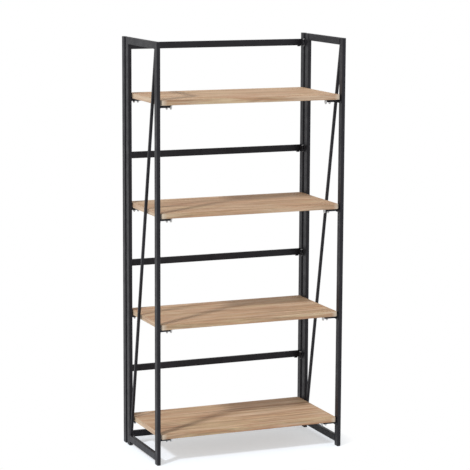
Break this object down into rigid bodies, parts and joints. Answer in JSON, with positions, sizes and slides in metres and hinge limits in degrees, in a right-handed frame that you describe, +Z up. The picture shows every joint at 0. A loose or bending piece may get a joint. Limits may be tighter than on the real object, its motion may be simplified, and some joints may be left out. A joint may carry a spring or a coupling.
{
  "type": "folding bookcase",
  "caption": "Folding open bookcase: slim rectangular-tube frame with diagonally braced hinged side frames and lift-up wooden boards on rear pivots.",
  "frame": {"origin": "on the floor under the middle of the frame's footprint", "axes": "+Z up, +Y to the back of the bookcase, +X to its right as seen from the front"},
  "size_m": [0.6, 0.3, 1.25],
  "materials": {
    "frame_coat": "fine matt black powder coat",
    "oak_board": "light oak decor with grain along the width",
    "glide": "matt black moulded plastic",
    "zinc": "bright zinc plate"
  },
  "bodies": {
    "frame": {"back_post_left": "frame_coat", "side_front_post_left": "frame_coat", "side_rear_post_left": "frame_coat", "side_top_rail_left": "frame_coat", "side_bottom_rail_left": "frame_coat", "side_brace_left": "frame_coat", "glide_front_left": "glide", "glide_middle_left": "glide", "glide_back_left": "glide", "hinge_pin_left_1": "zinc", "hinge_pin_left_2": "zinc", "hinge_pin_left_3": "zinc", "hinge_pin_left_4": "zinc", "shelf_seat_1_left": "frame_coat", "shelf_seat_2_left": "frame_coat", "shelf_seat_3_left": "frame_coat", "shelf_seat_4_left": "frame_coat", "back_post_right": "frame_coat", "side_front_post_right": "frame_coat", "side_rear_post_right": "frame_coat", "side_top_rail_right": "frame_coat", "side_bottom_rail_right": "frame_coat", "side_brace_right": "frame_coat", "glide_front_right": "glide", "glide_middle_right": "glide", "glide_back_right": "glide", "hinge_pin_right_1": "zinc", "hinge_pin_right_2": "zinc", "hinge_pin_right_3": "zinc", "hinge_pin_right_4": "zinc", "shelf_seat_1_right": "frame_coat", "shelf_seat_2_right": "frame_coat", "shelf_seat_3_right": "frame_coat", "shelf_seat_4_right": "frame_coat", "back_bar_1": "frame_coat", "back_bar_2": "frame_coat", "back_bar_3": "frame_coat", "back_bar_4": "frame_coat", "back_bar_5": "frame_coat"},
    "shelf_1": {"shelf_board_1": "oak_board", "shelf_bracket_1_front_left": "frame_coat", "shelf_bracket_1_front_right": "frame_coat", "shelf_bracket_1_rear_left": "frame_coat", "shelf_bracket_1_rear_right": "frame_coat"},
    "shelf_2": {"shelf_board_2": "oak_board", "shelf_bracket_2_front_left": "frame_coat", "shelf_bracket_2_front_right": "frame_coat", "shelf_bracket_2_rear_left": "frame_coat", "shelf_bracket_2_rear_right": "frame_coat"},
    "shelf_3": {"shelf_board_3": "oak_board", "shelf_bracket_3_front_left": "frame_coat", "shelf_bracket_3_front_right": "frame_coat", "shelf_bracket_3_rear_left": "frame_coat", "shelf_bracket_3_rear_right": "frame_coat"},
    "shelf_4": {"shelf_board_4": "oak_board", "shelf_bracket_4_front_left": "frame_coat", "shelf_bracket_4_front_right": "frame_coat", "shelf_bracket_4_rear_left": "frame_coat", "shelf_bracket_4_rear_right": "frame_coat"}
  },
  "joints": [
    {"name": "shelf_1_lift", "type": "hinge", "parent": "frame", "child": "shelf_1", "pos_m": [0, 0.133, 0.0845], "axis": [-1, 0, 0], "range_deg": [0, 90]},
    {"name": "shelf_2_lift", "type": "hinge", "parent": "frame", "child": "shelf_2", "pos_m": [0, 0.133, 0.4145], "axis": [-1, 0, 0], "range_deg": [0, 90]},
    {"name": "shelf_3_lift", "type": "hinge", "parent": "frame", "child": "shelf_3", "pos_m": [0, 0.133, 0.7445], "axis": [-1, 0, 0], "range_deg": [0, 90]},
    {"name": "shelf_4_lift", "type": "hinge", "parent": "frame", "child": "shelf_4", "pos_m": [0, 0.133, 1.0745], "axis": [-1, 0, 0], "range_deg": [0, 90]}
  ]
}
